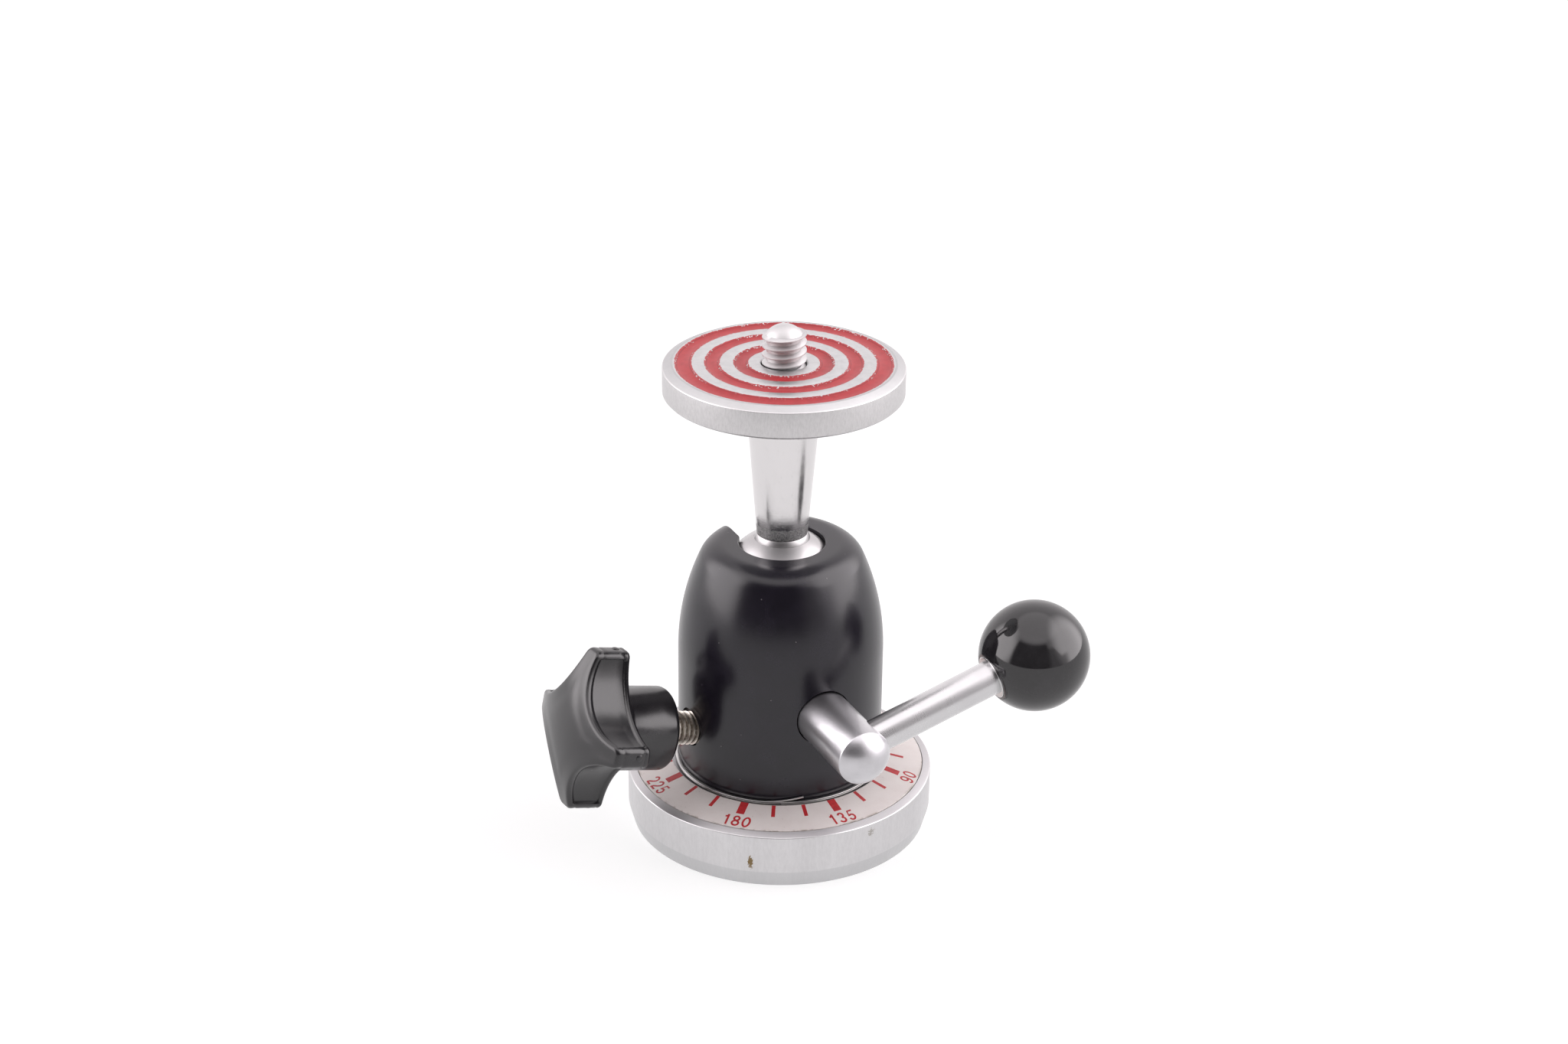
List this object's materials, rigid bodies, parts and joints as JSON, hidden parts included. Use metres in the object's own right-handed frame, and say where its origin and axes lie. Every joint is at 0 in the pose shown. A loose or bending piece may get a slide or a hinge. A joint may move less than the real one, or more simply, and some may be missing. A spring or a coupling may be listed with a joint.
{
  "type": "tripod ball head",
  "caption": "Small tripod ball head with a dial base, a bullet-shaped notched housing, a lever ball clamp, a lobed pan lock knob and a round plate with a camera screw.",
  "frame": {"origin": "centre of the tripod face, on the pan axis", "axes": "+Z along the pan axis, up to the camera plate; the clamp shaft points along -Y, the tilt notch faces +Y and the lever points to +X"},
  "size_m": [0.0727, 0.0548, 0.0778],
  "materials": {
    "base_metal": "turned and polished",
    "dial_metal": "satin, warm tint, red painted marks",
    "turned_steel": "turned",
    "white_plastic": "smooth slippery plastic",
    "ring_wire": "bright drawn wire",
    "black_coat": "half gloss with a fine orange peel",
    "bearing_brass": "turned",
    "shaft_metal": "satin",
    "rod_steel": "polished",
    "knob_gloss": "polished",
    "insert_metal": "bright",
    "knob_moulding": "moulded half gloss",
    "stud_steel": "worn nickel plating",
    "ball_metal": "polished",
    "stem_metal": "polished with fine scratches, rough grey band at the foot",
    "plate_metal": "turned, with red painted grooves",
    "screw_steel": "bright rolled thread"
  },
  "bodies": {
    "base": {"base_disc": "base_metal", "dial_ring": "dial_metal", "pan_spindle": "turned_steel", "slip_washer": "white_plastic", "foot_ring": "ring_wire"},
    "housing": {"housing": "black_coat", "housing_bush": "bearing_brass", "shaft_keeper_pin": "turned_steel"},
    "lever": {"clamp_shaft": "shaft_metal", "lever_rod": "rod_steel", "ball_knob": "knob_gloss", "ball_knob_insert": "insert_metal"},
    "cup": {"pressure_cup": "bearing_brass", "wear_plate": "turned_steel"},
    "pad": {"brake_pad": "white_plastic"},
    "lock_knob": {"lobed_knob": "knob_moulding", "lock_stud": "stud_steel"},
    "ball": {"ball": "ball_metal"},
    "head": {"stem": "stem_metal", "camera_plate": "plate_metal", "camera_screw": "screw_steel"}
  },
  "joints": [
    {"name": "pan", "type": "hinge", "parent": "base", "child": "housing", "pos_m": [0, 0, 0], "axis": [0, 0, 1], "continuous": true},
    {"name": "clamp_lever", "type": "hinge", "parent": "housing", "child": "lever", "pos_m": [0, 0, 0.02287], "axis": [0, -1, 0], "range_deg": [0, 95]},
    {"name": "cup_drop", "type": "slide", "parent": "housing", "child": "cup", "axis": [0, 0, -1], "range_m": [0, 0.00035]},
    {"name": "pad_slide", "type": "slide", "parent": "housing", "child": "pad", "axis": [-0.9671, -0.0608, 0.247], "range_m": [0, 0.0012]},
    {"name": "pan_lock", "type": "hinge", "parent": "pad", "child": "lock_knob", "pos_m": [0, 0, 0.01375], "axis": [-0.9671, -0.0608, 0.247], "range_deg": [0, 540]},
    {"name": "tilt", "type": "hinge", "parent": "housing", "child": "ball", "pos_m": [0, 0, 0.0371], "axis": [-1, 0, 0], "range_deg": [-14, 90]},
    {"name": "spin", "type": "hinge", "parent": "ball", "child": "head", "pos_m": [0, 0, 0.0371], "axis": [0, 0, 1], "continuous": true}
  ],
  "couplings": [
    {"joint": "cup_drop", "follows": "clamp_lever", "m_per_rad": 0.00021},
    {"joint": "pan_lock", "follows": "pad_slide", "rad_per_m": 7853.9}
  ]
}
